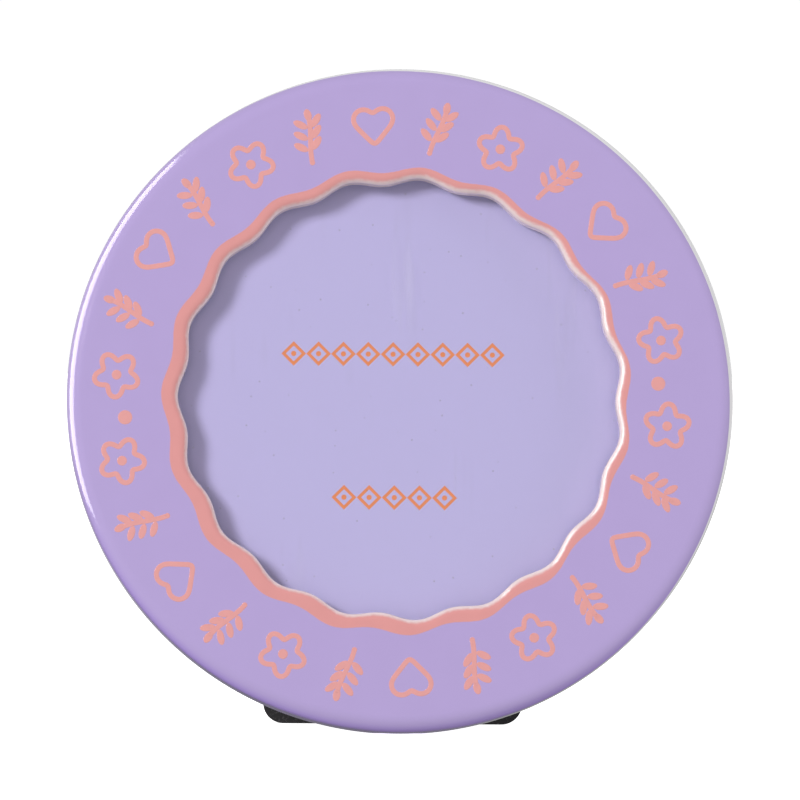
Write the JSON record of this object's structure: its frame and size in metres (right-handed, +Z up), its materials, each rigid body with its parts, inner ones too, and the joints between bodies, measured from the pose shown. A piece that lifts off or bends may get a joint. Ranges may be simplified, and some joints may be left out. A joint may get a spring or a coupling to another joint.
{
  "type": "photo frame",
  "caption": "Round ceramic table photo frame with a scalloped window, a glazed picture pack, a velvet back door held by turn buttons, and a folding easel strut.",
  "frame": {"origin": "on the table plane, under the middle of the frame's overall width and depth as it stands open", "axes": "+X to the right as seen from the front, +Y from the picture towards the strut behind, +Z up"},
  "size_m": [0.145, 0.048, 0.1446],
  "materials": {
    "glaze": "gloss",
    "glass": "polished",
    "picture_paper": "satin",
    "filler_card": "matte",
    "board": "matte",
    "velvet": "matte",
    "nickel_steel": "satin"
  },
  "bodies": {
    "frame": {"frame_body": "glaze", "glass_pane": "glass", "photo_insert": "picture_paper", "filler_card": "filler_card", "ring_board": "board", "ring_cover": "velvet", "door_board": "board", "door_cover": "velvet", "button_rivets": "nickel_steel", "hinge_door_leaf": "nickel_steel", "hinge_pin": "nickel_steel", "door_leaf_rivets": "nickel_steel"},
    "strut": {"strut_board": "board", "strut_cover": "velvet", "strut_lining": "velvet", "hinge_strut_leaf": "nickel_steel", "strut_leaf_rivets": "nickel_steel"},
    "button_upper_left": {"turn_button_upper_left": "nickel_steel"},
    "button_upper_right": {"turn_button_upper_right": "nickel_steel"},
    "button_lower_left": {"turn_button_lower_left": "nickel_steel"},
    "button_lower_right": {"turn_button_lower_right": "nickel_steel"}
  },
  "joints": [
    {"name": "strut_fold", "type": "hinge", "parent": "frame", "child": "strut", "pos_m": [0, 0.00152, 0.09618], "axis": [1, 0, 0], "range_deg": [-17, 0]},
    {"name": "upper_left_button_turn", "type": "hinge", "parent": "frame", "child": "button_upper_left", "pos_m": [-0.04328, 0.00121, 0.10762], "axis": [0, 0.9925, -0.1219], "continuous": true},
    {"name": "upper_right_button_turn", "type": "hinge", "parent": "frame", "child": "button_upper_right", "pos_m": [0.04328, 0.00121, 0.10762], "axis": [0, 0.9925, -0.1219], "continuous": true},
    {"name": "lower_left_button_turn", "type": "hinge", "parent": "frame", "child": "button_lower_left", "pos_m": [-0.04328, -0.00764, 0.03553], "axis": [0, 0.9925, -0.1219], "continuous": true},
    {"name": "lower_right_button_turn", "type": "hinge", "parent": "frame", "child": "button_lower_right", "pos_m": [0.04328, -0.00764, 0.03553], "axis": [0, 0.9925, -0.1219], "continuous": true}
  ]
}
